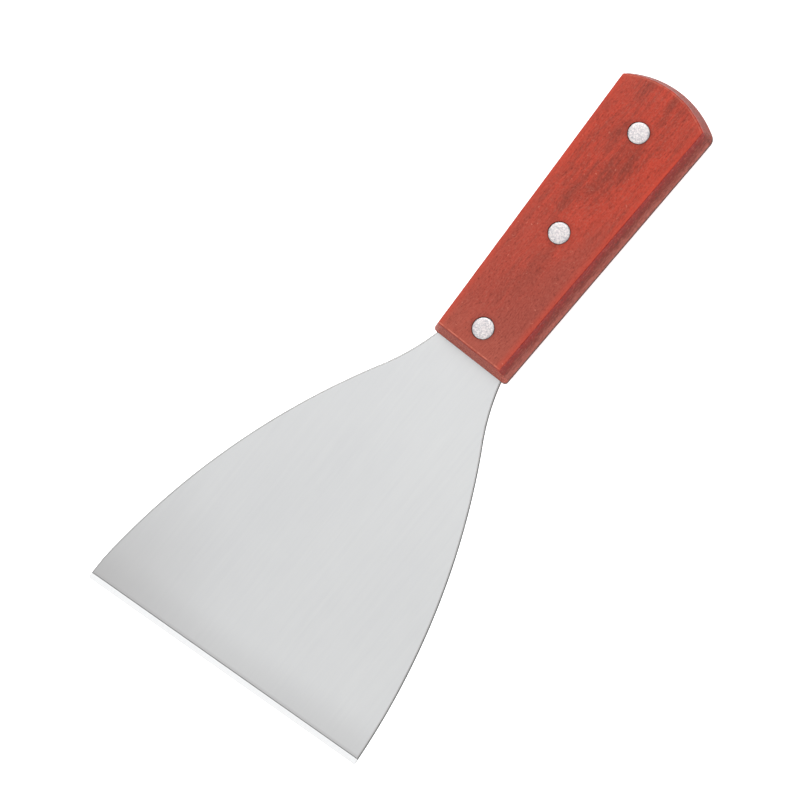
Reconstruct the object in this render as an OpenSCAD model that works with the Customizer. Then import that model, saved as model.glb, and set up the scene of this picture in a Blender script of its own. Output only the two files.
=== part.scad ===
// Wood-handled taping knife: one flared steel blade with a full tang, two hardwood
// scales and three two-part rivets.  Millimetres.  +Y runs from the cutting edge to
// the butt of the handle, +Z is up through the front scale.  The origin is the centre
// of the knife's box, at the level of the back scale's flat outer face.

/* [Blade] */
// Width across the cutting edge
blade_w = 101.6; // [76:0.1:152]
// Length from the cutting edge to the wood, along the middle
blade_len = 121; // [90:1:150]
// Thickness of the sheet
blade_t = 1.0; // [0.6:0.1:2]
// Width of the neck where it leaves the wood
neck_w = 25.4; // [20:0.1:28]
// Angle between the neck's side and the middle line, at the wood
neck_angle = 15; // [5:1:25]
// Steepest angle of the flare
flare_angle = 30; // [26:1:45]
// Radius of the hollow curve between neck and flare
neck_r = 76; // [30:1:120]
// Angle by which the cutting edge is out of square
edge_slant = 4.2; // [0:0.1:6]
// Width of the ground bevel along the cutting edge
bevel_w = 2.0; // [0.5:0.1:5]
// Thickness left at the cutting edge
edge_t = 0.35; // [0.1:0.05:0.6]

/* [Handle] */
// Length of the handle
handle_len = 102.5; // [90:0.5:130]
// Width of the handle at its blade end, at the tang
handle_front_w = 28.5; // [26:0.5:36]
// Width of the handle at its butt, at the tang
handle_butt_w = 35.8; // [28:0.5:44]
// Radius of the rounded butt
butt_r = 31; // [24:1:60]
// Radius of the handle's front corners at the tang, seen from above
front_corner_r = 1.2; // [0.5:0.1:3]
// Radius of the handle's butt corners at the tang, seen from above
butt_corner_r = 3.0; // [0.5:0.1:4]
// Radius of the corners of the flat outer face
face_corner_r = 0.8; // [0.4:0.1:2]
// Thickness of each scale
scale_t = 8; // [5:0.5:12]
// How far the sloping sides come in from the tang to the flat face
side_inset = 2.0; // [0.5:0.1:4]
// How far the sloping front comes in
front_inset = 1.8; // [0.5:0.1:4]
// How far the sloping butt comes in
butt_inset = 1.9; // [0.2:0.1:4]
// Width of the broken edge around the flat face
edge_break = 0.35; // [0.1:0.05:1]

/* [Rivets] */
// Distance of the front rivet from the handle's blade end
rivet_front = 9.1; // [7:0.1:14]
// Distance of the middle rivet from the handle's blade end
rivet_middle = 45.8; // [36:0.1:55]
// Distance of the rear rivet from the handle's blade end
rivet_rear = 84.3; // [74:0.1:88]
// Diameter of the flush heads
head_d = 6.8; // [5:0.1:9]
// Thickness of the heads
head_t = 1.2; // [0.8:0.1:2]
// Outer diameter of the hollow half
sleeve_d = 4.8; // [4:0.1:6]
// Diameter of the solid half's pin
pin_d = 3.0; // [2:0.1:3.6]

/* [Hidden] */

STEEL = "#c4c6c9";
WOOD = "#b04a3c";
WOOD_BACK = "#a34436";
ALUMINIUM = "#dcdcdb";

skin = 0.01;        // thickness of the slices that a scale is stretched over
cut = 1;            // how far a cutting solid runs past what it cuts
head_gap = 0.1;     // gap around a rivet head in its seat
bore_gap = 0.05;    // gap around a rivet's hollow half in the wood and the tang
pin_gap = 0.01;     // gap around the solid half's pin in the hollow half
sleeve_short = 0.4; // gap between the two halves inside the wood
pin_short = 0.8;    // gap below the pin's tip
floor_t = 1.0;      // solid metal between a sleeve's head and its blind bore
arc_fn = 96;        // smoothness of rivets and bores

z_tang = scale_t;
z_top = scale_t + blade_t;
z_face = z_top + scale_t;

// The cutting edge leans, so one corner of the blade reaches further than the other.
slant_rise = blade_w / 2 * tan(edge_slant);
y_low = -blade_len - slant_rise;
y_mid = (y_low + handle_len) / 2;

// Each side of the blade: a hollow arc off the neck, then a full arc out to a short
// stretch that runs parallel to the middle line.  Distances are from the wood.
neck_end = neck_r * (sin(flare_angle) - sin(neck_angle));
neck_end_w = neck_w / 2 + neck_r * (cos(neck_angle) - cos(flare_angle));
side_end = blade_len - slant_rise;
side_run = side_end - neck_end;
side_rise = blade_w / 2 - neck_end_w;
side_turn = flare_angle - atan2(side_rise, side_run);
side_r = norm([side_run, side_rise]) / 2 / sin(side_turn);
side_end_angle = flare_angle - 2 * side_turn;

neck_steps = 10;
side_steps = 32;
corner_steps = 6;
crown_steps = 16;

function neck_point(a) = [
    neck_w / 2 + neck_r * (cos(neck_angle) - cos(a)),
    -neck_r * (sin(a) - sin(neck_angle))
];
function side_point(a) = [
    neck_end_w + side_r * (cos(a) - cos(flare_angle)),
    -neck_end - side_r * (sin(flare_angle) - sin(a))
];
function angles(from, to, steps) = [for (i = [0 : steps]) from + (to - from) * i / steps];
function mirrored(points) = [for (i = [len(points) - 1 : -1 : 0]) [-points[i].x, points[i].y]];

// Outline of the blade's right side, from inside the handle to the cutting edge
right_side = concat(
    [[neck_w / 2, front_corner_r]],
    [for (a = angles(neck_angle, flare_angle, neck_steps)) neck_point(a)],
    [for (i = [1 : side_steps])
        side_point(flare_angle + (side_end_angle - flare_angle) * i / side_steps)]
);
left_side = mirrored(right_side);

// Half the handle's width at the tang, at a distance from its blade end
function handle_half(y) = (handle_front_w + (handle_butt_w - handle_front_w) * y / handle_len) / 2;

// Points of an arc after its first one
function arc_points(centre, r, from, to, steps) =
    [for (i = [1 : steps]) let (a = from + (to - from) * i / steps) centre + r * [cos(a), sin(a)]];

// Right half of the handle's outline, from its blade end to the middle of its butt.
// Each corner is an arc that touches the side, and the butt is one wide arc.
function handle_right(side, front, butt, front_r, rear_r) =
    let (
        slope = (handle_butt_w - handle_front_w) / 2 / handle_len,
        lean = atan(slope),
        front_centre = [
            handle_half(front + front_r) - side - front_r / cos(lean),
            front + front_r
        ],
        crown = handle_len - butt_r,
        reach = butt_r - butt - rear_r,
        start = handle_half(crown) - side - rear_r / cos(lean),
        square_term = 1 + slope * slope,
        linear_term = start * slope,
        rest = start * start - reach * reach,
        rise = (sqrt(linear_term * linear_term - square_term * rest) - linear_term) / square_term,
        rear_centre = [start + slope * rise, crown + rise],
        crown_angle = atan2(rise, rear_centre.x)
    )
    concat(
        [[front_centre.x, front]],
        arc_points(front_centre, front_r, -90, -lean, corner_steps),
        [rear_centre + rear_r * [cos(lean), -sin(lean)]],
        arc_points(rear_centre, rear_r, -lean, crown_angle, corner_steps),
        arc_points([0, crown], butt_r - butt, crown_angle, 90, crown_steps)
    );

// ---- shapes shared by the sub-parts ----

// Handle seen from above, brought in by the given amounts, with its own corner radii
module handle_plan(side = 0, front = 0, butt = 0,
                   front_r = front_corner_r, rear_r = butt_corner_r) {
    right = handle_right(side, front, butt, front_r, rear_r);
    inner = [for (i = [0 : len(right) - 2]) right[i]];
    polygon(concat(right, mirrored(inner)));
}

// One thin slice of a scale
module scale_slice(z, side, front, butt, front_r, rear_r) {
    translate([0, 0, z]) linear_extrude(skin) handle_plan(side, front, butt, front_r, rear_r);
}

// Wooden scale with its wide face at z = 0 and its flat outer face at scale_t
module scale_blank() {
    hull() {
        scale_slice(0, 0, 0, 0, front_corner_r, butt_corner_r);
        scale_slice(scale_t - edge_break, side_inset, front_inset, butt_inset,
                    face_corner_r, face_corner_r);
        scale_slice(scale_t - skin, side_inset + edge_break, front_inset + edge_break,
                    butt_inset + edge_break, face_corner_r, face_corner_r);
    }
}

module at_rivets() {
    for (y = [rivet_front, rivet_middle, rivet_rear]) translate([0, y, 0]) children();
}

// Holes through a scale: a bore for the rivet and a seat for its flush head
module scale_holes() {
    at_rivets() {
        translate([0, 0, -cut])
            cylinder(d = sleeve_d + 2 * bore_gap, h = scale_t + 2 * cut, $fn = arc_fn);
        translate([0, 0, scale_t - head_t])
            cylinder(d = head_d + 2 * head_gap, h = head_t + cut, $fn = arc_fn);
    }
}

module wooden_scale() {
    difference() {
        scale_blank();
        scale_holes();
    }
}

// Puts the knife's own coordinates, measured from the wood, into the part's frame
module placed(z = 0) {
    translate([0, -y_mid, z]) children();
}

// ---- blade ----

module blade_plan() {
    polygon(concat(
        right_side,
        [[blade_w / 2, side_low(1)], [-blade_w / 2, side_low(-1)]],
        left_side
    ));
}

// Where the cutting edge meets the right side (1) or the left side (-1)
function side_low(side) = -blade_len + side * slant_rise;

// Wedge that is ground off the upper face along the cutting edge
module bevel_cut() {
    translate([0, -blade_len, 0]) rotate([0, 0, edge_slant]) rotate([90, 0, 90])
        linear_extrude(2 * blade_w, center = true)
            polygon([
                [-cut, edge_t - cut * (blade_t - edge_t) / bevel_w],
                [bevel_w + cut, blade_t + cut * (blade_t - edge_t) / bevel_w],
                [-cut, blade_t + cut]
            ]);
}

module blade() {
    color(STEEL) placed(z_tang)
        difference() {
            union() {
                linear_extrude(blade_t) blade_plan();
                linear_extrude(blade_t) handle_plan();
            }
            bevel_cut();
            at_rivets() translate([0, 0, -cut])
                cylinder(d = sleeve_d + 2 * bore_gap, h = blade_t + 2 * cut, $fn = arc_fn);
        }
}

// ---- scales ----

module front_scale() {
    color(WOOD) placed(z_top) wooden_scale();
}

module back_scale() {
    color(WOOD_BACK) placed(z_tang) mirror([0, 0, 1]) wooden_scale();
}

// ---- rivets ----

// Solid half: a flush head on the front scale and a pin that drives into the sleeve
module rivet_pin(y) {
    pin_low = head_t + floor_t + pin_short;
    color(ALUMINIUM) placed() translate([0, y, 0]) {
        translate([0, 0, z_face - head_t]) cylinder(d = head_d, h = head_t, $fn = arc_fn);
        translate([0, 0, pin_low])
            cylinder(d = pin_d, h = z_face - head_t / 2 - pin_low, $fn = arc_fn);
    }
}

// Hollow half: a flush head on the back scale and a tube that takes the pin
module rivet_sleeve(y) {
    tube_top = z_face - head_t - sleeve_short;
    color(ALUMINIUM) placed() translate([0, y, 0])
        difference() {
            union() {
                cylinder(d = head_d, h = head_t, $fn = arc_fn);
                cylinder(d = sleeve_d, h = tube_top, $fn = arc_fn);
            }
            translate([0, 0, head_t + floor_t])
                cylinder(d = pin_d + 2 * pin_gap, h = tube_top, $fn = arc_fn);
        }
}

blade();
front_scale();
back_scale();
rivet_pin(rivet_front);  // rivet_pin_front
rivet_pin(rivet_middle);  // rivet_pin_middle
rivet_pin(rivet_rear);  // rivet_pin_rear
rivet_sleeve(rivet_front);  // rivet_sleeve_front
rivet_sleeve(rivet_middle);  // rivet_sleeve_middle
rivet_sleeve(rivet_rear);  // rivet_sleeve_rear
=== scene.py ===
"""The looks of a wood-handled taping knife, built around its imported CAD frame."""
import math
import bmesh
import bpy
from mathutils import Matrix, Vector, noise


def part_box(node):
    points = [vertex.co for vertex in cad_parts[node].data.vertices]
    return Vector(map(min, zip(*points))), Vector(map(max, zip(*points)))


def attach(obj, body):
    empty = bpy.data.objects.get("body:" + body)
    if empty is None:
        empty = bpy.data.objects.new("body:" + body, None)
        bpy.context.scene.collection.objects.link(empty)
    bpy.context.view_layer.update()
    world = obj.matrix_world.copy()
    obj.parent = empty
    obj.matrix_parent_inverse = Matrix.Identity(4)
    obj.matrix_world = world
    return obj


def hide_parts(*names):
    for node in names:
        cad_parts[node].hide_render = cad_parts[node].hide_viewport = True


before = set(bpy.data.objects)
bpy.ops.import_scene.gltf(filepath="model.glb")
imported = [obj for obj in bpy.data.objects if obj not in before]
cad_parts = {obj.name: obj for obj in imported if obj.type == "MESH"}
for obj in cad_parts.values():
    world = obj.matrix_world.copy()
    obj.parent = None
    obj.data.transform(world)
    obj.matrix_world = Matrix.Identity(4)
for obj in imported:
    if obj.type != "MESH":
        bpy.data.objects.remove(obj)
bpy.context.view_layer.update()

MM = 0.001

# ---- places taken from the frame ----

WOOD_LOW, WOOD_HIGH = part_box("front_scale")
BLADE_LOW, BLADE_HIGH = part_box("blade")
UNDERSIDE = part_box("back_scale")[0].z
HANDLE_FRONT = WOOD_LOW.y
HANDLE_BUTT = WOOD_HIGH.y
HANDLE_LEN = HANDLE_BUTT - HANDLE_FRONT
SCALE_T = WOOD_HIGH.z - WOOD_LOW.z
SHEET_LOW = BLADE_LOW.z
SHEET_TOP = BLADE_HIGH.z
BLADE_HALF = BLADE_HIGH.x

# ---- the CAD model's own dimensions that its boxes don't give ----

NECK_HALF = 12.7 * MM
NECK_ANGLE = math.radians(15)
NECK_R = 76 * MM
FLARE_ANGLE = math.radians(30)
EDGE_SLANT = math.radians(4.2)
BEVEL_W = 2.0 * MM
EDGE_T = 0.35 * MM

FRONT_HALF = 14.25 * MM
BUTT_HALF = 17.9 * MM
BUTT_R = 31 * MM
FRONT_CORNER_R = 1.2 * MM
BUTT_CORNER_R = 3.0 * MM
FACE_CORNER_R = 0.8 * MM
SIDE_INSET = 2.0 * MM
FRONT_INSET = 1.8 * MM
BUTT_INSET = 1.9 * MM
EDGE_BREAK = 0.35 * MM

HEAD_T = 1.2 * MM
SLEEVE_R = 2.4 * MM
PIN_R = 1.5 * MM
BORE_R = 2.45 * MM
BLIND_FLOOR = 1.0 * MM
PIN_GAP = 0.01 * MM

EDGE_MIDDLE = BLADE_LOW.y + BLADE_HALF * math.tan(EDGE_SLANT)
RIVETS = ("front", "middle", "rear")

# ---- small shapes that only the looks have ----

# How the sheet's rim and a rivet's head roll over: (inset in mm, drop in mm) from the face to
# the rim, and (share of the radius, drop in mm) from the middle to the rim
RIM_ROLL = ((0.50, 0.0), (0.32, 0.012), (0.16, 0.04), (0.05, 0.10), (0.0, 0.20))
HEAD_ROLL = ((0, 0.0), (0.45, 0.01), (0.80, 0.03), (0.93, 0.07), (0.98, 0.15), (1.0, 0.30))

SHADED_RIM = 0.20 * MM     # the part of the rim's roll that has the edge's dark colour
BROKEN_RIDGE = 0.10 * MM   # how far behind the bevel's ridge the ridge is broken
TANG_LINE = 0.12 * MM      # chamfer on the wood where it meets the tang
SEAT_GAP = 0.07 * MM       # gap around a rivet's head
SEAT_CHAMFER = 0.10 * MM   # chamfer at the mouth of a rivet's seat
PIN_POINT = 0.4 * MM       # chamfer at a pin's tip
RIM_WOBBLE = 0.22 * MM     # how far hand sanding has moved the wood's upper ridge
SLOW_WANDER = 110          # how many times per metre it has swung widely
QUICK_WANDER = 420         # how many times per metre it has swung a little
FLOOR_GAP = 0.05 * MM      # gap between the knife and the floor

FAR = 1000.0               # millimetres, more than any distance on the knife

# ---- how finely shapes are divided ----

CORNER_STEPS = 8
CROWN_STEPS = 24
SIDE_STEPS = 64
FRONT_STEPS = 20
NECK_STEPS = 24
EDGE_STEPS = 40
ROUND_STEPS = 64
WALL_RINGS = 6
BREAK_RINGS = 5
WELD = 1e-7                # metres within which two points become one
ON_PLANE = 1e-8            # metres within which a point counts as lying on a cut
SHARP_FROM = 35            # degrees from which an edge is shaded as sharp
BLADE_SHARP_FROM = 3       # the same on the blade, so that its roll leaves the face flat

# The blade's materials, in the order in which make_blade gives them
FACE, EDGE, BEVEL, RIM = range(4)


def rivet_axis(which):
    """A point on a rivet's axis, in the middle of its pin's box."""
    low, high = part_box("rivet_pin_" + which)
    return (low + high) / 2


def rivet_head_r():
    """The radius of a rivet's head, the same for all of them."""
    low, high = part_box("rivet_pin_front")
    return (high.x - low.x) / 2


# ---- colours ----


def srgb(red, green, blue):
    """A colour given in 0..255 display values, as Blender's linear colour."""
    def linear(value):
        v = value / 255
        return v / 12.92 if v <= 0.04045 else ((v + 0.055) / 1.055) ** 2.4
    return (linear(red), linear(green), linear(blue), 1.0)


WOOD_BRIGHT = srgb(202, 71, 52)
WOOD_DARK = srgb(145, 61, 48)
WOOD_BROWN = srgb(167, 78, 65)
WOOD_DEEP = srgb(104, 32, 20)
WOOD_PORE = srgb(78, 30, 24)
WOOD_FLECK = srgb(214, 128, 108)
# painted shadow, in the gaps round the rivet heads and along the seam at the tang
WOOD_SHADOW = srgb(30, 16, 15)
# pale colour of the rubbed patch, and of the painted highlight line inside the end ridges
WOOD_WORN_AND_HIGHLIGHT = srgb(214, 126, 104)
# painted shade: deep red under the ridges, and browner lower down the walls
WOOD_SHADE = srgb(138, 6, 0)
WOOD_SHADE_LOW = srgb(113, 25, 0)
WOOD_PALE = srgb(168, 90, 76)
WOOD_END = srgb(202, 108, 90)
WOOD_END_DARK = srgb(130, 46, 32)
WOOD_BUTT = srgb(158, 60, 42)
WOOD_BUTT_DARK = srgb(72, 20, 10)

STEEL_BRIGHT = srgb(216, 217, 217)
STEEL_DULL = srgb(210, 211, 212)
# painted shade at the blade's corner and painted dark reflection just above the bevel; it also
# darkens the belt above the bevel
STEEL_CORNER = srgb(178, 177, 177)
# painted shade: a darker copy of the face's steel for the rolled rim
RIM_BRIGHT = srgb(196, 195, 194)
RIM_DULL = srgb(172, 171, 170)
BEVEL_DULL = srgb(214, 215, 216)
BEVEL_BRIGHT = srgb(231, 231, 231)
# the sheet's edge: dull sheared steel, painted darker as its dark reflection
EDGE_DARK = srgb(52, 53, 52)
EDGE_PALE = srgb(112, 113, 111)
EDGE_DYED = srgb(92, 46, 38)

RIVET_DULL = srgb(158, 159, 164)
RIVET_BRIGHT = srgb(228, 222, 219)
RIVET_PINK = srgb(214, 198, 200)
RIVET_PIT = srgb(112, 118, 132)

FLOOR_GREY = (0.90, 0.90, 0.90, 1.0)
FLOOR_WHITE = (0.92, 0.92, 0.92, 1.0)
HORIZON = (0.40, 0.40, 0.41, 1.0)
OVERHEAD = (1.0, 1.0, 1.0, 1.0)

# ---- the metal's brushing and the wood's figure ----

# Where marks and shades lie, in millimetres; a pair is where a fade starts and where it ends
SHADE_INSET = 0.15         # how far inside the end ridges their painted shade is darkest
HIGHLIGHT_INSET = 0.62          # how far inside them the painted highlight line runs
WALL_EDGE = (0.08, 0.42)   # where, inside the side ridge, the wall's colours give way to the face's
END_EDGE = (-0.30, 0.10)   # the same at the front and the butt
BRIGHT_EDGE = (0.3, 2.8)   # where, inside the side ridge, the face's brighter margin fades
RUBBED = (4.0, 18.0)       # how far from the blade the rubbed patch reaches
HALO_W = 1.8               # width of the faint halo round a rivet
RIVET_SHADOW_LINE = (0.08, 0.34)       # where, outside a rivet's head, the painted shadow line fades
SEAM_SHADOW = (0.62, 0.85)        # where, from the middle of the tang, the painted shadow along its seam fades
CORNER_SHADE = (-20.0, 54.0)  # distances over which the painted shade at the blade's corner fades
BELT_W = 13.0              # width of the darker belt above the bevel
RIDGE_SHADE_W = 1.3        # width of the painted dark reflection just above the bevel
STAINED_TANG = 1.0         # over what length the edge of the sheet becomes stained

# How high the bumps in each surface stand
WOOD_BUMP = 0.035 * MM
BRUSH_BUMP = 0.002 * MM
GRIND_BUMP = 0.004 * MM
EDGE_BUMP = 0.02 * MM
RIVET_BUMP = 0.03 * MM

# How often brush and grinding marks repeat per millimetre: across, along and through the blade
FINE_BRUSHING = (9.0, 0.10, 1.0)
BROAD_BRUSHING = (0.9, 0.02, 1.0)
GRINDING = (7.0, 0.3, 1.0)

# How often each part of the grain repeats per millimetre: across, along and through the wood
BAND_GRAIN = (0.16, 0.026, 0.16)
STREAK_GRAIN = (0.85, 0.045, 0.85)
FIBRE_GRAIN = (4.2, 0.14, 4.2)
MOTTLE_GRAIN = (0.9, 0.5, 0.9)
GRIT_GRAIN = (1.9, 1.1, 1.9)
PORE_GRAIN = (1.5, 0.30, 1.5)
PORE_PATCH_GRAIN = (0.35, 0.12, 0.5)
CAST_GRAIN = (0.05, 0.015, 0.05)
WALL_PATCH_GRAIN = (0.7, 0.16, 0.7)
WALL_FIBRE_GRAIN = (2.6, 0.4, 2.6)
WALL_GRIT_GRAIN = (1.3, 0.8, 1.3)
NICKS = 0.42

# The wood's dark streaks, in millimetres: x, distance from the handle's blade end, half width
# and half length
DARK_STREAKS = (
    (-2.5, 22.0, 3.6, 12.0),
    (1.0, 31.0, 2.6, 15.0),
    (6.5, 12.0, 4.5, 10.0),
    (-4.0, 57.0, 2.6, 9.0),
    (0.5, 66.0, 4.2, 12.0),
    (3.5, 74.0, 3.0, 8.0),
    (-4.5, 80.0, 3.0, 7.0),
    (3.0, 95.0, 1.8, 6.5),
    (-6.0, 96.0, 2.6, 5.0),
    (-13.5, 85.5, 1.6, 2.2),
)


# ---- outlines, seen from above, as lists of (x, y) ----


def arc(centre, radius, start, end, steps):
    """Points along an arc, angles in radians from +X, both ends included."""
    angles = [start + (end - start) * i / steps for i in range(steps + 1)]
    return [(centre[0] + radius * math.cos(a), centre[1] + radius * math.sin(a)) for a in angles]


def between(a, b, steps):
    """Points spaced evenly between a and b, both left out."""
    return [tuple(p + (q - p) * i / steps for p, q in zip(a, b)) for i in range(1, steps)]


def handle_outline(share=0.0, extra=0.0):
    """The handle's outline, counter-clockwise from its front.

    share runs from 0 at the tang to 1 at the flat face, and extra brings every side in further.
    """
    slope = (BUTT_HALF - FRONT_HALF) / HANDLE_LEN
    lean = math.atan(slope)
    side = SIDE_INSET * share + extra
    front_r = FRONT_CORNER_R + (FACE_CORNER_R - FRONT_CORNER_R) * share
    butt_r = BUTT_CORNER_R + (FACE_CORNER_R - BUTT_CORNER_R) * share

    def corner_x(y, r):
        """Where the centre of a corner arc lies at y, one radius inside the side."""
        return FRONT_HALF + slope * (y - HANDLE_FRONT) - side - r / math.cos(lean)

    front_y = HANDLE_FRONT + FRONT_INSET * share + extra + front_r
    crown = Vector((0, HANDLE_BUTT - BUTT_R))
    crown_r = BUTT_R - BUTT_INSET * share - extra
    # The butt's corner arc touches the side and the crown's arc: solve x(y) on the circle.
    start = corner_x(crown.y, butt_r)
    square_term = 1 + slope ** 2
    linear_term = start * slope
    rest = start ** 2 - (crown_r - butt_r) ** 2
    rise = (math.sqrt(linear_term ** 2 - square_term * rest) - linear_term) / square_term
    butt_centre = (start + slope * rise, crown.y + rise)
    crown_angle = math.atan2(rise, butt_centre[0])

    front_centre = (corner_x(front_y, front_r), front_y)
    front_corner = arc(front_centre, front_r, -math.pi / 2, -lean, CORNER_STEPS)
    butt_corner = arc(butt_centre, butt_r, -lean, crown_angle, CORNER_STEPS)
    crown_half = arc(crown, crown_r, crown_angle, math.pi / 2, CROWN_STEPS)
    right = front_corner + between(front_corner[-1], butt_corner[0], SIDE_STEPS)
    right += butt_corner + crown_half[1:]
    left = [(-x, y) for x, y in reversed(right)][1:]
    return right + left + between(left[-1], right[0], FRONT_STEPS)


def blade_side():
    """The blade's right side, from the wood to the cutting edge, as in the CAD model."""
    neck_end = NECK_R * (math.sin(FLARE_ANGLE) - math.sin(NECK_ANGLE))
    neck_end_half = NECK_HALF + NECK_R * (math.cos(NECK_ANGLE) - math.cos(FLARE_ANGLE))
    slant_rise = BLADE_HALF * math.tan(EDGE_SLANT)
    run = HANDLE_FRONT - EDGE_MIDDLE - slant_rise - neck_end
    rise = BLADE_HALF - neck_end_half
    turn = FLARE_ANGLE - math.atan2(rise, run)
    side_r = math.hypot(run, rise) / 2 / math.sin(turn)
    neck_centre = (NECK_HALF + NECK_R * math.cos(NECK_ANGLE),
                   HANDLE_FRONT + NECK_R * math.sin(NECK_ANGLE))
    side_centre = (neck_end_half - side_r * math.cos(FLARE_ANGLE),
                   HANDLE_FRONT - neck_end - side_r * math.sin(FLARE_ANGLE))
    neck = arc(neck_centre, NECK_R, math.pi + NECK_ANGLE, math.pi + FLARE_ANGLE, NECK_STEPS)
    side = arc(side_centre, side_r, FLARE_ANGLE, FLARE_ANGLE - 2 * turn, SIDE_STEPS)
    return neck + side[1:]


def blade_outline():
    """The blade and its tang in one outline, counter-clockwise."""
    side = blade_side()
    rise = BLADE_HALF * math.tan(EDGE_SLANT)
    handle = handle_outline()
    front = HANDLE_FRONT + FRONT_CORNER_R / 2
    outer = [p for p in handle if not (abs(p[0]) < NECK_HALF and p[1] < front)]
    right_low = (BLADE_HALF, EDGE_MIDDLE + rise)
    left_low = (-BLADE_HALF, EDGE_MIDDLE - rise)
    left = [(-x, y) for x, y in side]
    edge = [left_low] + between(left_low, right_low, EDGE_STEPS) + [right_low]
    return outer + left + edge + side[-2::-1]


def circle(centre, radius):
    """Points round a circle, counter-clockwise from +X."""
    turns = [2 * math.pi * i / ROUND_STEPS for i in range(ROUND_STEPS)]
    return [(centre.x + radius * math.cos(t), centre.y + radius * math.sin(t)) for t in turns]


def drawn_in(points, depth):
    """A closed outline with every point moved inwards by depth(point), square to both its sides."""
    result = []
    for i, p in enumerate(points):
        before = (Vector(p) - Vector(points[i - 1])).normalized()
        after = (Vector(points[(i + 1) % len(points)]) - Vector(p)).normalized()
        inward = Vector((-before.y, before.x)) + Vector((-after.y, after.x))
        length = max(inward.length_squared / 2, 0.5)
        result.append(tuple(Vector(p) + inward * (depth(p) / length)))
    return result


def sanding(amount, seed):
    """A depth that wanders between 0 and amount, as hand sanding leaves a ridge."""
    def depth(point):
        place = Vector((point[0], point[1], seed))
        slow = noise.noise(place * SLOW_WANDER)
        quick = noise.noise(place * QUICK_WANDER)
        return amount * min(max(0.5 + 0.45 * slow + 0.25 * quick, 0), 1)
    return depth


# ---- mesh building ----


def ring(bm, points, z):
    """A vertex for each (x, y) point, all at height z."""
    return [bm.verts.new((x, y, z)) for x, y in points]


def skirt(bm, lower, upper, index=FACE):
    """Quads between two rings with the same number of points."""
    for i in range(len(lower)):
        j = (i + 1) % len(lower)
        face = bm.faces.new((lower[i], lower[j], upper[j], upper[i]))
        face.material_index = index


def cap(bm, *rings):
    """Fills the flat area between an outer ring and any inner ones."""
    edges = []
    for loop in rings:
        for i, v in enumerate(loop):
            other = loop[(i + 1) % len(loop)]
            edges.append(bm.edges.get((v, other)) or bm.edges.new((v, other)))
    bmesh.ops.triangle_fill(bm, use_beauty=True, use_dissolve=False, edges=edges)


def lay_uv(bm):
    """A plan-view UV map, one unit to the metre, so that brushing has a direction."""
    layer = bm.loops.layers.uv.new("plan")
    for face in bm.faces:
        for corner in face.loops:
            corner[layer].uv = corner.vert.co.xy


def finished(bm, name, materials, node, sharp=SHARP_FROM):
    """Turns a bmesh into a piece that stands for one CAD node; sharp is in degrees."""
    bmesh.ops.remove_doubles(bm, verts=bm.verts, dist=WELD)
    lay_uv(bm)
    bmesh.ops.recalc_face_normals(bm, faces=bm.faces)
    limit = math.radians(sharp)
    for face in bm.faces:
        face.smooth = True
    for edge in bm.edges:
        edge.smooth = len(edge.link_faces) == 2 and edge.calc_face_angle() < limit
    mesh = bpy.data.meshes.new(name)
    bm.to_mesh(mesh)
    bm.free()
    for material in materials:
        mesh.materials.append(material)
    piece = bpy.data.objects.new(name, mesh)
    bpy.context.scene.collection.objects.link(piece)
    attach(piece, "root")
    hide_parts(node)


# ---- material building ----


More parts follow.
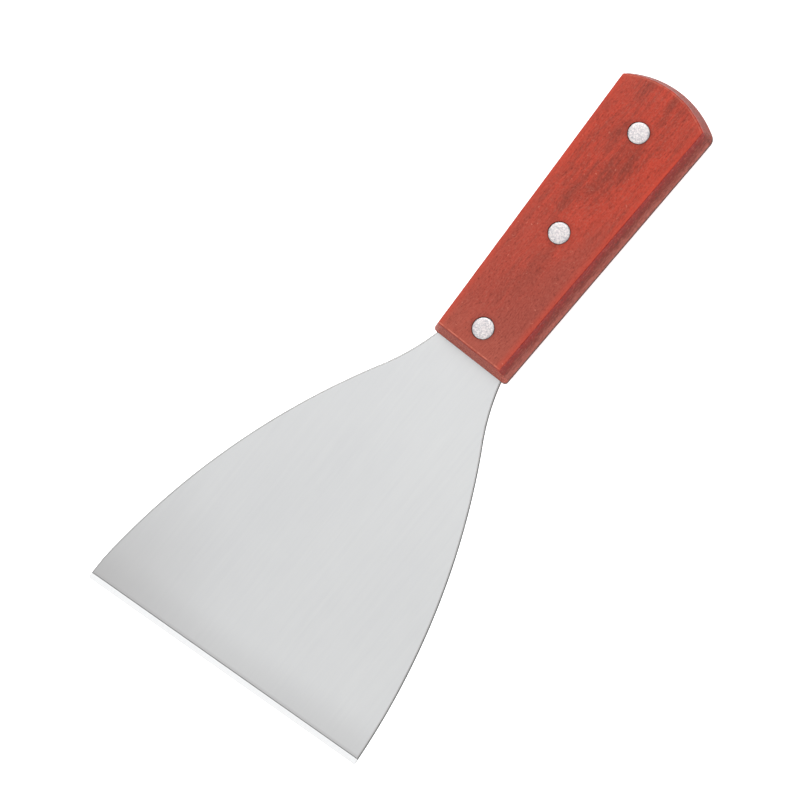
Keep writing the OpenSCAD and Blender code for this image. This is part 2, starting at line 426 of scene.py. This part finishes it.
class Shader:
    """A material's nodes, with a short call for each kind that is used here."""

    def __init__(self, name):
        self.material = bpy.data.materials.new(name)
        self.material.use_nodes = True
        self.tree = self.material.node_tree
        self.tree.nodes.clear()
        self.surface = self.add("ShaderNodeBsdfPrincipled")
        self.output = self.add("ShaderNodeOutputMaterial")
        self.tree.links.new(self.surface.outputs["BSDF"], self.output.inputs["Surface"])
        place = self.add("ShaderNodeTexCoord").outputs["Object"]
        self.place = self.vector("SCALE", place, scale=1 / MM)

    def add(self, kind, **settings):
        node = self.tree.nodes.new(kind)
        for key, value in settings.items():
            setattr(node, key, value)
        return node

    def put(self, socket, value):
        if isinstance(value, bpy.types.NodeSocket):
            self.tree.links.new(value, socket)
        else:
            socket.default_value = value

    def set(self, **values):
        """Sets or links the surface's inputs, such as base_color or roughness."""
        for key, value in values.items():
            self.put(self.surface.inputs[key.replace("_", " ").title()], value)

    def math(self, operation, a, b=0.0, clamp=False):
        node = self.add("ShaderNodeMath", operation=operation, use_clamp=clamp)
        self.put(node.inputs[0], a)
        self.put(node.inputs[1], b)
        return node.outputs[0]

    def vector(self, operation, a, b=(0, 0, 0), scale=1.0):
        node = self.add("ShaderNodeVectorMath", operation=operation)
        self.put(node.inputs[0], a)
        if operation == "SCALE":
            self.put(node.inputs["Scale"], scale)
        else:
            self.put(node.inputs[1], b)
        return node.outputs["Value"] if operation == "LENGTH" else node.outputs["Vector"]

    def parts(self, vector):
        node = self.add("ShaderNodeSeparateXYZ")
        self.put(node.inputs[0], vector)
        return node.outputs[0], node.outputs[1], node.outputs[2]

    def spread(self, value, low, high, to_low=0.0, to_high=1.0):
        """Maps low..high to to_low..to_high, smoothly and clamped."""
        node = self.add("ShaderNodeMapRange", interpolation_type="SMOOTHSTEP", clamp=True)
        for i, v in enumerate((value, low, high, to_low, to_high)):
            self.put(node.inputs[i], v)
        return node.outputs["Result"]

    def swing(self, value, amount):
        """A 0..1 value turned into one that goes up and down about zero, amount from end to end."""
        return self.math("MULTIPLY", self.math("SUBTRACT", value, 0.5), amount)

    def noise(self, vector, scale=1.0, detail=2, roughness=0.5, distortion=0.0):
        node = self.add("ShaderNodeTexNoise")
        self.put(node.inputs["Vector"], vector)
        self.put(node.inputs["Scale"], scale)
        self.put(node.inputs["Detail"], detail)
        self.put(node.inputs["Roughness"], roughness)
        self.put(node.inputs["Distortion"], distortion)
        return node.outputs["Fac"]

    def drift(self, scale):
        """Noise as a vector around zero, for warping a place."""
        node = self.add("ShaderNodeTexNoise")
        self.put(node.inputs["Vector"], self.place)
        self.put(node.inputs["Scale"], scale)
        self.put(node.inputs["Detail"], 1.0)
        return self.vector("SUBTRACT", node.outputs["Color"], (0.5, 0.5, 0.5))

    def cells(self, vector, scale=1.0, output="Distance"):
        node = self.add("ShaderNodeTexVoronoi", feature="F1")
        self.put(node.inputs["Vector"], vector)
        self.put(node.inputs["Scale"], scale)
        return node.outputs[output]

    def mix(self, factor, a, b):
        """Goes from colour a to colour b as factor goes from 0 to 1."""
        node = self.add("ShaderNodeMix", data_type="RGBA", blend_type="MIX")
        self.put(node.inputs["Factor"], factor)
        self.put(node.inputs[6], a)
        self.put(node.inputs[7], b)
        return node.outputs[2]

    def bump(self, height, distance):
        node = self.add("ShaderNodeBump")
        self.put(node.inputs["Height"], height)
        self.put(node.inputs["Distance"], distance)
        return node.outputs["Normal"]


def stretched(s, grain, turn=0.0):
    """The place in millimetres, scaled by a grain's three numbers after a turn about Z in degrees."""
    node = s.add("ShaderNodeMapping", vector_type="TEXTURE")
    s.put(node.inputs["Vector"], s.place)
    s.put(node.inputs["Rotation"], (0, 0, math.radians(turn)))
    s.put(node.inputs["Scale"], tuple(1 / number for number in grain))
    return node.outputs["Vector"]


def rivet_distance(s):
    """Distance in millimetres from the nearest rivet's axis."""
    nearest = FAR
    for which in RIVETS:
        axis = rivet_axis(which)
        offset = s.vector("SUBTRACT", s.place, (0, axis.y / MM, 0))
        flat = s.vector("MULTIPLY", offset, (1, 1, 0))
        nearest = s.math("MINIMUM", s.vector("LENGTH", flat), nearest)
    return nearest


def tang_distance(s, height):
    """Distance in millimetres above or below the middle of the tang."""
    return s.math("ABSOLUTE", s.math("SUBTRACT", height, (SHEET_LOW + SHEET_TOP) / 2 / MM))


def ridge_distances(s, across, along):
    """How far inside the flat face's side, front and butt ridges a place lies, in millimetres."""
    slope = (BUTT_HALF - FRONT_HALF) / HANDLE_LEN
    from_front = s.math("SUBTRACT", along, HANDLE_FRONT / MM)
    half = s.math("ADD", s.math("MULTIPLY", from_front, slope), (FRONT_HALF - SIDE_INSET) / MM)
    side = s.math("SUBTRACT", half, s.math("ABSOLUTE", across))
    front = s.math("SUBTRACT", from_front, FRONT_INSET / MM)
    from_crown = s.math("SUBTRACT", along, (HANDLE_BUTT - BUTT_R) / MM)
    reach = s.math("MULTIPLY", from_crown, from_crown)
    radius = s.math("SQRT", s.math("ADD", reach, s.math("MULTIPLY", across, across)))
    beyond = s.spread(from_crown, 0.0, 1.0, FAR, 0.0)
    butt = s.math("ADD", s.math("SUBTRACT", (BUTT_R - BUTT_INSET) / MM, radius), beyond)
    return side, front, butt


def dark_streaks(s, side):
    """How deep in one of the wood's dark streaks a place is, from 0 to 1."""
    deepest = 0.0
    for x, from_front, half_width, half_length in DARK_STREAKS:
        centre = (side * x, HANDLE_FRONT / MM + from_front, 0)
        offset = s.vector("SUBTRACT", s.place, centre)
        share = s.vector("MULTIPLY", offset, (1 / half_width, 1 / half_length, 0))
        depth = s.spread(s.vector("LENGTH", share), 0.1, 1.25, 1.0, 0.0)
        deepest = s.math("MAXIMUM", deepest, depth)
    return deepest


def wood_figure(s, along, side, seed):
    """Dyed wood before most wear: dark streaks, a brown cast, fibres, mottling, grit and pores.

    Returns its colour and a height for the bump. A different seed gives another piece of wood.
    """
    true_place = s.place
    moved = s.vector("ADD", true_place, (seed, seed, seed))
    s.place = moved
    s.place = s.vector("ADD", moved, s.vector("SCALE", s.drift(0.06), scale=3.0))
    band = s.noise(stretched(s, BAND_GRAIN, -2), detail=3, roughness=0.55, distortion=0.2)
    streak = s.noise(stretched(s, STREAK_GRAIN, -2), detail=4, roughness=0.6, distortion=0.2)
    fibre = s.noise(stretched(s, FIBRE_GRAIN, -1), detail=4, roughness=0.65)
    mottle = s.noise(stretched(s, MOTTLE_GRAIN), detail=4, roughness=0.6)
    grit = s.noise(stretched(s, GRIT_GRAIN), detail=4, roughness=0.75)
    pore_cell = s.cells(stretched(s, PORE_GRAIN, -1))
    pore_keep = s.noise(stretched(s, PORE_PATCH_GRAIN), detail=1)
    cast = s.noise(stretched(s, CAST_GRAIN))
    s.place = s.vector("ADD", true_place, s.vector("SCALE", s.drift(0.12), scale=5.0))
    deep = dark_streaks(s, side)
    s.place = true_place

    light = s.swing(band, 0.58)
    light = s.math("ADD", light, s.swing(streak, 0.65))
    light = s.math("ADD", light, s.swing(mottle, 0.45))
    light = s.math("SUBTRACT", light, s.math("MULTIPLY", deep, 0.19))
    colour = s.mix(s.spread(light, -0.34, 0.18), WOOD_DARK, WOOD_BRIGHT)
    front = HANDLE_FRONT / MM
    towards_front = s.spread(along, front, (HANDLE_BUTT - HANDLE_LEN / 4) / MM, 0.85, 0.0)
    brown = s.math("ADD", towards_front, s.spread(cast, 0.38, 0.62, 0.0, 0.4), clamp=True)
    colour = s.mix(brown, colour, WOOD_BROWN)
    rubbed = s.spread(along, front + RUBBED[0], front + RUBBED[1], 0.13, 0.0)
    colour = s.mix(rubbed, colour, WOOD_WORN_AND_HIGHLIGHT)
    colour = s.mix(s.spread(fibre, 0.25, 0.75, 0.36, 0.0), colour, WOOD_DEEP)
    colour = s.mix(s.spread(grit, 0.50, 0.68, 0.0, 0.58), colour, WOOD_PALE)
    colour = s.mix(s.spread(grit, 0.32, 0.48, 0.43, 0.0), colour, WOOD_PORE)
    pore = s.math("MULTIPLY", s.spread(pore_cell, 0.08, 0.22, 1.0, 0.0),
                  s.spread(pore_keep, 0.46, 0.60))
    colour = s.mix(s.math("MULTIPLY", pore, 0.5), colour, WOOD_PORE)
    relief = s.math("SUBTRACT", s.math("ADD", fibre, mottle), s.math("MULTIPLY", pore, 1.5))
    return colour, relief


def with_flecks(s, colour):
    """Sparse pale nicks of no particular shape."""
    nicked = s.vector("ADD", s.place, s.vector("SCALE", s.drift(1.3), scale=1.8))
    near = s.cells(nicked, scale=NICKS)
    chance = s.parts(s.cells(nicked, scale=NICKS, output="Color"))[0]
    fleck = s.math("MULTIPLY", s.spread(near, 0.04, 0.13, 0.55, 0.0), s.spread(chance, 0.46, 0.56))
    return s.mix(fleck, colour, WOOD_FLECK)


def with_rivet_halo_and_shadow(s, colour):
    """A faint halo round each rivet, and a patchy line of painted shadow in the gap beside it."""
    ring_r = rivet_head_r() / MM
    near = rivet_distance(s)
    halo = s.spread(near, ring_r, ring_r + HALO_W, 0.22, 0.0)
    colour = s.mix(halo, colour, WOOD_PORE)
    # painted shadow: a patchy dark line in the gap outside each head
    patchy = s.spread(s.noise(s.place, scale=0.35), 0.38, 0.60, 0.20, 0.90)
    line = s.spread(near, ring_r + RIVET_SHADOW_LINE[0], ring_r + RIVET_SHADOW_LINE[1], 1.0, 0.0)
    return s.mix(s.math("MULTIPLY", line, patchy), colour, WOOD_SHADOW)


def with_walls(s, colour, side, along, height):
    """Sloping sides in painted shade: deep red under the ridge, brown half-way down and paler near
    the tang.

    The paler part reaches further up the wall towards the blade, and there is grit all over.
    """
    from_tang = tang_distance(s, height)
    patchy = s.noise(stretched(s, WALL_PATCH_GRAIN), detail=4, roughness=0.65)
    fibre = s.noise(stretched(s, WALL_FIBRE_GRAIN), detail=3, roughness=0.7)
    level = s.math("ADD", from_tang, s.swing(patchy, 6.0))
    level = s.math("ADD", level, s.swing(fibre, 6.0))
    on_wall = s.spread(side, *WALL_EDGE, 0.92, 0.0)
    # painted shade on the wall, brown low down and deep red under the ridge
    wall = s.mix(s.spread(level, 4.0, 7.8), WOOD_SHADE_LOW, WOOD_SHADE)
    reach = s.spread(along, HANDLE_FRONT / MM, (HANDLE_FRONT + HANDLE_LEN / 2) / MM, 5.8, 4.6)
    wall = s.mix(s.spread(level, 0.4, reach, 1.0, 0.0), wall, WOOD_PALE)
    grit = s.noise(stretched(s, WALL_GRIT_GRAIN), detail=4, roughness=0.8)
    wall = s.mix(s.spread(grit, 0.52, 0.66, 0.0, 0.55), wall, WOOD_PALE)
    wall = s.mix(s.spread(grit, 0.36, 0.50, 0.60, 0.0), wall, WOOD_PORE)
    return s.mix(on_wall, colour, wall)


def with_end_grain(s, colour, front, butt, height):
    """Short blotchy grain on the front and butt, and painted shadow along the seam at the tang."""
    specks = s.noise(s.place, scale=1.9, detail=4, roughness=0.8)
    for distance, dark, pale in ((front, WOOD_END_DARK, WOOD_END), (butt, WOOD_BUTT_DARK, WOOD_BUTT)):
        grain = s.mix(s.spread(specks, 0.35, 0.65), dark, pale)
        colour = s.mix(s.spread(distance, *END_EDGE, 0.85, 0.0), colour, grain)
    # painted shadow on the wood along its seam with the tang
    from_tang = tang_distance(s, height)
    return s.mix(s.spread(from_tang, *SEAM_SHADOW, 0.8, 0.0), colour, WOOD_SHADOW)


def with_ridge_shade_and_highlight(s, colour, front, butt):
    """Painted shade along the ridge at each end, and inside it a painted highlight line."""
    patchy = s.noise(s.place, scale=0.45, detail=3, roughness=0.6)
    broken = s.spread(patchy, 0.36, 0.58, 0.25, 1.0)
    for distance, strength in ((front, 0.60), (butt, 0.30)):
        # painted shade just inside the ridge
        off_shade = s.math("ABSOLUTE", s.math("SUBTRACT", distance, SHADE_INSET))
        colour = s.mix(s.spread(off_shade, 0.0, 0.35, 0.35, 0.0), colour, WOOD_SHADE)
        # painted highlight line, broken in patches
        off_line = s.math("ABSOLUTE", s.math("SUBTRACT", distance, HIGHLIGHT_INSET))
        line = s.math("MULTIPLY", s.spread(off_line, 0.06, 0.32, strength, 0.0), broken)
        colour = s.mix(line, colour, WOOD_WORN_AND_HIGHLIGHT)
    return colour


def wood_material(name, side, seed):
    """Red-dyed hardwood with a dull finish, with painted shade and highlight along its ridges; side
    mirrors its figure.
    """
    s = Shader(name)
    across, along, height = s.parts(s.place)
    figure, relief = wood_figure(s, along, side, seed)
    edge, front, butt = ridge_distances(s, across, along)
    figure = s.mix(s.spread(edge, *BRIGHT_EDGE, 0.45, 0.0), figure, WOOD_BRIGHT)
    colour = with_rivet_halo_and_shadow(s, with_flecks(s, figure))
    colour = with_ridge_shade_and_highlight(s, colour, front, butt)
    colour = with_walls(s, colour, edge, along, height)
    colour = with_end_grain(s, colour, front, butt, height)
    rough = s.spread(relief, 0.4, 1.6, 0.46, 0.60)
    s.set(base_color=colour, roughness=rough, normal=s.bump(relief, WOOD_BUMP))
    s.surface.inputs["Specular IOR Level"].default_value = 0.15
    return s.material


def steel_face_material(name, dull, bright):
    """Satin stainless sheet, brushed along the blade, with painted shade at one corner, a darker belt
    above the bevel and a painted dark reflection just above it.
    """
    s = Shader(name)
    fine = s.noise(stretched(s, FINE_BRUSHING), detail=4, roughness=0.65)
    broad = s.noise(stretched(s, BROAD_BRUSHING), detail=3, roughness=0.55)
    cloud = s.noise(s.place, scale=0.03, detail=3)
    tone = s.math("ADD", s.math("MULTIPLY", fine, 0.35), s.math("MULTIPLY", broad, 0.30))
    tone = s.math("ADD", tone, s.math("MULTIPLY", cloud, 0.35))
    colour = s.mix(s.spread(tone, 0.30, 0.70), dull, bright)
    corner = (BLADE_LOW.x / MM, BLADE_LOW.y / MM, SHEET_TOP / MM)
    from_corner = s.vector("LENGTH", s.vector("SUBTRACT", s.place, corner))
    # painted shade darkening one corner of the blade
    colour = s.mix(s.spread(from_corner, *CORNER_SHADE, 0.80, 0.0), colour, STEEL_CORNER)
    above = s.vector("SUBTRACT", s.place, (0, EDGE_MIDDLE / MM, 0))
    across, along = s.parts(above)[:2]
    lean = s.math("MULTIPLY", across, -math.sin(EDGE_SLANT))
    from_edge = s.math("ADD", s.math("MULTIPLY", along, math.cos(EDGE_SLANT)), lean)
    belt = s.spread(from_edge, BEVEL_W / MM, BEVEL_W / MM + BELT_W, 0.30, 0.0)
    # painted dark reflection in a line just above the bevel
    ridge = s.spread(from_edge, BEVEL_W / MM, BEVEL_W / MM + RIDGE_SHADE_W, 0.65, 0.0)
    colour = s.mix(ridge, s.mix(belt, colour, STEEL_CORNER), STEEL_CORNER)
    rough = s.spread(fine, 0.3, 0.7, 0.33, 0.40)
    s.set(base_color=colour, roughness=rough, metallic=1.0, normal=s.bump(fine, BRUSH_BUMP))
    s.surface.inputs["Anisotropic"].default_value = 0.5
    tangent = s.add("ShaderNodeTangent", direction_type="UV_MAP", uv_map="plan")
    s.put(s.surface.inputs["Tangent"], tangent.outputs[0])
    return s.material


def steel_bevel_material():
    """Bright ground bevel, with grinding marks square to the cutting edge."""
    s = Shader("steel_bevel")
    marks = s.noise(stretched(s, GRINDING, -4), detail=3, roughness=0.6)
    colour = s.mix(s.spread(marks, 0.3, 0.7), BEVEL_DULL, BEVEL_BRIGHT)
    s.set(base_color=colour, roughness=s.spread(marks, 0.3, 0.7, 0.45, 0.60), metallic=1.0,
          normal=s.bump(marks, GRIND_BUMP))
    return s.material


def steel_edge_material():
    """Sheared and dulled rim of the sheet, darkened by a painted dark reflection, and stained by the
    dye where it is the tang's.
    """
    s = Shader("steel_edge")
    marks = s.noise(s.place, scale=1.6, detail=4, roughness=0.7)
    colour = s.mix(s.spread(marks, 0.3, 0.7), EDGE_DARK, EDGE_PALE)
    along = s.parts(s.place)[1]
    dyed = s.spread(along, HANDLE_FRONT / MM, HANDLE_FRONT / MM + STAINED_TANG, 0.0, 0.65)
    colour = s.mix(dyed, colour, EDGE_DYED)
    s.set(base_color=colour, roughness=s.spread(marks, 0.3, 0.7, 0.45, 0.65), metallic=1.0,
          normal=s.bump(marks, EDGE_BUMP))
    return s.material


def aluminium_material():
    """Sanded soft aluminium: pale and mottled, pinkish in places, with small bluish grey pits."""
    s = Shader("rivet_aluminium")
    mottle = s.noise(s.place, scale=1.7, detail=4, roughness=0.75)
    elsewhere = s.vector("ADD", s.place, (40, 40, 40))
    tint = s.noise(elsewhere, scale=0.9, detail=3, roughness=0.6)
    uneven = s.vector("ADD", s.place, s.vector("SCALE", s.drift(1.5), scale=0.5))
    pits = s.cells(uneven, scale=1.7)
    colour = s.mix(s.spread(mottle, 0.34, 0.66), RIVET_DULL, RIVET_BRIGHT)
    colour = s.mix(s.spread(tint, 0.35, 0.65, 0.0, 0.25), colour, RIVET_PINK)
    pit = s.spread(pits, 0.06, 0.24, 0.80, 0.0)
    colour = s.mix(pit, colour, RIVET_PIT)
    s.set(base_color=colour, roughness=s.spread(mottle, 0.3, 0.7, 0.42, 0.60), metallic=1.0,
          normal=s.bump(s.math("SUBTRACT", mottle, pit), RIVET_BUMP))
    return s.material


# ---- pieces ----


def make_blade(face, bevel, edge, rim):
    """The flared sheet with its tang, three bores, rolled-over rims and the ground bevel."""
    bm = bmesh.new()
    outline = blade_outline()
    levels = [(SHEET_LOW + drop * MM, inset * MM) for inset, drop in RIM_ROLL]
    levels += [(SHEET_TOP - drop * MM, inset * MM) for inset, drop in reversed(RIM_ROLL)]
    rings = [ring(bm, drawn_in(outline, lambda point: inset), z) for z, inset in levels]
    for i, (under, over) in enumerate(zip(rings, rings[1:])):
        inmost = max(levels[i][1], levels[i + 1][1])
        skirt(bm, under, over, EDGE if inmost < SHADED_RIM else RIM)
    bores = []
    for which in RIVETS:
        points = circle(rivet_axis(which), BORE_R)
        pair = ring(bm, points, SHEET_LOW), ring(bm, points, SHEET_TOP)
        skirt(bm, *pair, EDGE)
        bores.append(pair)
    cap(bm, rings[0], *[pair[0] for pair in bores])
    cap(bm, rings[-1], *[pair[1] for pair in bores])
    grind(bm)
    materials = [face, edge, bevel, rim]
    finished(bm, "blade_sheet", materials, "blade", sharp=BLADE_SHARP_FROM)


def grind(bm):
    """Cuts the ground bevel off the upper face, then breaks the ridge that it leaves."""
    drop = math.atan2(SHEET_TOP - SHEET_LOW - EDGE_T, BEVEL_W)
    across = Vector((math.cos(EDGE_SLANT), math.sin(EDGE_SLANT), 0))
    back = Vector((-math.sin(EDGE_SLANT), math.cos(EDGE_SLANT), 0))
    foot = Vector((0, EDGE_MIDDLE, SHEET_LOW + EDGE_T))
    ridge = foot + back * BEVEL_W + Vector((0, 0, SHEET_TOP - SHEET_LOW - EDGE_T))
    for point, angle, index in ((foot, drop, BEVEL), (ridge + back * BROKEN_RIDGE, drop / 2, EDGE)):
        normal = Matrix.Rotation(angle, 3, across) @ Vector((0, 0, 1))
        geometry = list(bm.verts) + list(bm.edges) + list(bm.faces)
        cut = bmesh.ops.bisect_plane(bm, geom=geometry, plane_co=point, plane_no=normal,
                                     dist=ON_PLANE, clear_outer=True)
        edges = [e for e in cut["geom_cut"] if isinstance(e, bmesh.types.BMEdge) and e.is_boundary]
        made = bmesh.ops.edgeloop_fill(bm, edges=edges)
        for new_face in made["faces"]:
            new_face.material_index = index


def scale_levels():
    """(height above the tang, inset share, extra inset) for each ring of a wooden scale."""
    wall_top = SCALE_T - EDGE_BREAK
    levels = [(0.0, 0.0, TANG_LINE), (TANG_LINE, 0.0, 0.0)]
    levels += [(wall_top * i / WALL_RINGS, i / WALL_RINGS, 0.0) for i in range(1, WALL_RINGS + 1)]
    for i in range(1, BREAK_RINGS + 1):
        turn = math.pi / 2 * i / BREAK_RINGS
        rise, inset = EDGE_BREAK * math.sin(turn), EDGE_BREAK * (1 - math.cos(turn))
        levels.append((wall_top + rise, 1.0, inset))
    return levels


def make_scale(name, node, material, base_z, up):
    """One wooden scale; up is +1 above the tang and -1 below it."""
    bm = bmesh.new()
    rings = []
    for height, share, extra in scale_levels():
        wander = sanding(RIM_WOBBLE * share, up)
        points = drawn_in(handle_outline(share, extra), wander)
        rings.append(ring(bm, points, base_z + up * height))
    for under, over in zip(rings, rings[1:]):
        skirt(bm, under, over)
    seat_r = rivet_head_r() + SEAT_GAP
    hole = ((BORE_R, 0.0), (BORE_R, SCALE_T - HEAD_T), (seat_r, SCALE_T - HEAD_T),
            (seat_r, SCALE_T - SEAT_CHAMFER), (seat_r + SEAT_CHAMFER, SCALE_T))
    lowest, highest = [], []
    for which in RIVETS:
        axis = rivet_axis(which)
        steps = [ring(bm, circle(axis, r), base_z + up * h) for r, h in hole]
        for under, over in zip(steps, steps[1:]):
            skirt(bm, under, over)
        lowest.append(steps[0])
        highest.append(steps[-1])
    cap(bm, rings[0], *lowest)
    cap(bm, rings[-1], *highest)
    finished(bm, name, [material], node)


def lathe(bm, axis, profile):
    """Turns a closed (radius, z) profile about a rivet's axis; radius 0 makes a point."""
    rings = []
    for radius, z in profile:
        if radius == 0:
            rings.append([bm.verts.new((axis.x, axis.y, z))] * ROUND_STEPS)
        else:
            rings.append(ring(bm, circle(axis, radius), z))
    for under, over in zip(rings, rings[1:]):
        for i in range(ROUND_STEPS):
            j = (i + 1) % ROUND_STEPS
            corners = list(dict.fromkeys((under[i], under[j], over[j], over[i])))
            bm.faces.new(corners)


def head_profile(flat_z, up):
    """A flush head from its middle outwards: nearly flat, its rim rolled over."""
    r = rivet_head_r()
    rolled = [(r * share, flat_z - up * drop * MM) for share, drop in HEAD_ROLL]
    return rolled + [(r, flat_z - up * HEAD_T)]


def make_rivet(which, material):
    """Both halves of a rivet: a pin with its head on top, and the tube that holds it."""
    axis = rivet_axis(which)
    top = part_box("rivet_pin_" + which)[1].z
    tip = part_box("rivet_pin_" + which)[0].z
    pin = head_profile(top, 1) + [(PIN_R, top - HEAD_T), (PIN_R, tip + PIN_POINT),
                                  (PIN_R - PIN_POINT, tip), (0, tip)]
    bm = bmesh.new()
    lathe(bm, axis, pin)
    finished(bm, "rivet_pin_half_" + which, [material], "rivet_pin_" + which)

    low, mouth = (corner.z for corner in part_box("rivet_sleeve_" + which))
    bore = PIN_R + PIN_GAP
    blind = low + HEAD_T + BLIND_FLOOR
    sleeve = head_profile(low, -1) + [(SLEEVE_R, low + HEAD_T), (SLEEVE_R, mouth),
                                      (bore, mouth), (bore, blind), (0, blind)]
    bm = bmesh.new()
    lathe(bm, axis, sleeve)
    finished(bm, "rivet_sleeve_half_" + which, [material], "rivet_sleeve_" + which)


# ---- studio ----

FLOOR_HALF = 4.0           # metres
FLOOR_GLOW = 0.75
WORLD_STRENGTH = 0.95
CAMERA_PLACE = Vector((331.47, -30.5, 1256.7)) * MM
CAMERA_TARGET = Vector((-8.48, -12.07, 9.0)) * MM
CAMERA_ROLL = math.radians(38.563)
CAMERA_LENS = 192.1        # millimetres
CAMERA_SENSOR = 36.0       # millimetres
CAMERA_REACH = 20.0        # metres


def make_floor():
    """A white light table that glows, so the knife hardly shades it; clear from below."""
    s = Shader("studio_floor")
    grain = s.noise(s.place, scale=0.002)
    s.set(base_color=s.mix(grain, FLOOR_GREY, FLOOR_WHITE), roughness=0.9,
          emission_color=(1, 1, 1, 1), emission_strength=FLOOR_GLOW)
    one_sided = s.add("ShaderNodeMixShader")
    s.put(one_sided.inputs[0], s.add("ShaderNodeNewGeometry").outputs["Backfacing"])
    s.put(one_sided.inputs[1], s.surface.outputs["BSDF"])
    s.put(one_sided.inputs[2], s.add("ShaderNodeBsdfTransparent").outputs["BSDF"])
    s.put(s.output.inputs["Surface"], one_sided.outputs["Shader"])
    bm = bmesh.new()
    bmesh.ops.create_grid(bm, x_segments=1, y_segments=1, size=FLOOR_HALF)
    mesh = bpy.data.meshes.new("studio_floor")
    bm.to_mesh(mesh)
    bm.free()
    mesh.materials.append(s.material)
    floor = bpy.data.objects.new("studio_floor", mesh)
    floor.location.z = UNDERSIDE - FLOOR_GAP
    bpy.context.scene.collection.objects.link(floor)


def make_world():
    """A pale room, white overhead and grey at the horizon and below it."""
    world = bpy.data.worlds.new("studio")
    bpy.context.scene.world = world
    world.use_nodes = True
    tree = world.node_tree
    background = tree.nodes["Background"]
    place = tree.nodes.new("ShaderNodeTexCoord")
    parts = tree.nodes.new("ShaderNodeSeparateXYZ")
    ramp = tree.nodes.new("ShaderNodeValToRGB")
    tree.links.new(place.outputs["Generated"], parts.inputs[0])
    tree.links.new(parts.outputs[2], ramp.inputs[0])
    tree.links.new(ramp.outputs[0], background.inputs["Color"])
    ramp.color_ramp.elements[0].color = HORIZON
    ramp.color_ramp.elements[1].color = OVERHEAD
    background.inputs["Strength"].default_value = WORLD_STRENGTH


def area_light(name, place, size, watts):
    """A round light that faces the middle of the knife; place and size are in metres."""
    light = bpy.data.lights.new(name, "AREA")
    light.shape = "DISK"
    light.size = size
    light.energy = watts
    lamp = bpy.data.objects.new(name, light)
    lamp.location = place
    lamp.rotation_euler = (-Vector(place)).to_track_quat("-Z", "Y").to_euler()
    bpy.context.scene.collection.objects.link(lamp)


def make_camera():
    """A long lens high above the knife and a little to its right, with the handle up-right."""
    data = bpy.data.cameras.new("camera")
    data.lens = CAMERA_LENS
    data.sensor_width = CAMERA_SENSOR
    data.clip_end = CAMERA_REACH
    camera = bpy.data.objects.new("camera", data)
    gaze = (CAMERA_TARGET - CAMERA_PLACE).normalized()
    right = gaze.cross(Vector((0, 1, 0))).normalized()
    level = Matrix((right, right.cross(gaze), -gaze)).transposed()
    turned = level @ Matrix.Rotation(CAMERA_ROLL, 3, "Z")
    camera.matrix_world = Matrix.Translation(CAMERA_PLACE) @ turned.to_4x4()
    bpy.context.scene.collection.objects.link(camera)
    bpy.context.scene.camera = camera


bpy.context.scene.view_settings.view_transform = "Standard"
make_floor()
make_world()
area_light("key", place=(-1.6, 1.6, 2.6), size=2.2, watts=50)
area_light("fill", place=(-0.5, -1.4, 1.9), size=1.2, watts=8)
make_camera()

face = steel_face_material("steel_face", STEEL_DULL, STEEL_BRIGHT)
# the rolled rim in a darker copy of the face's steel: painted shade
rim = steel_face_material("steel_rim", RIM_DULL, RIM_BRIGHT)
make_blade(face, steel_bevel_material(), steel_edge_material(), rim)
front_wood = wood_material("wood_front", side=1, seed=31.0)
back_wood = wood_material("wood_back", side=-1, seed=87.0)
make_scale("front_wood", "front_scale", front_wood, base_z=SHEET_TOP, up=1)
make_scale("back_wood", "back_scale", back_wood, base_z=SHEET_LOW, up=-1)
aluminium = aluminium_material()
for rivet in RIVETS:
    make_rivet(rivet, aluminium)
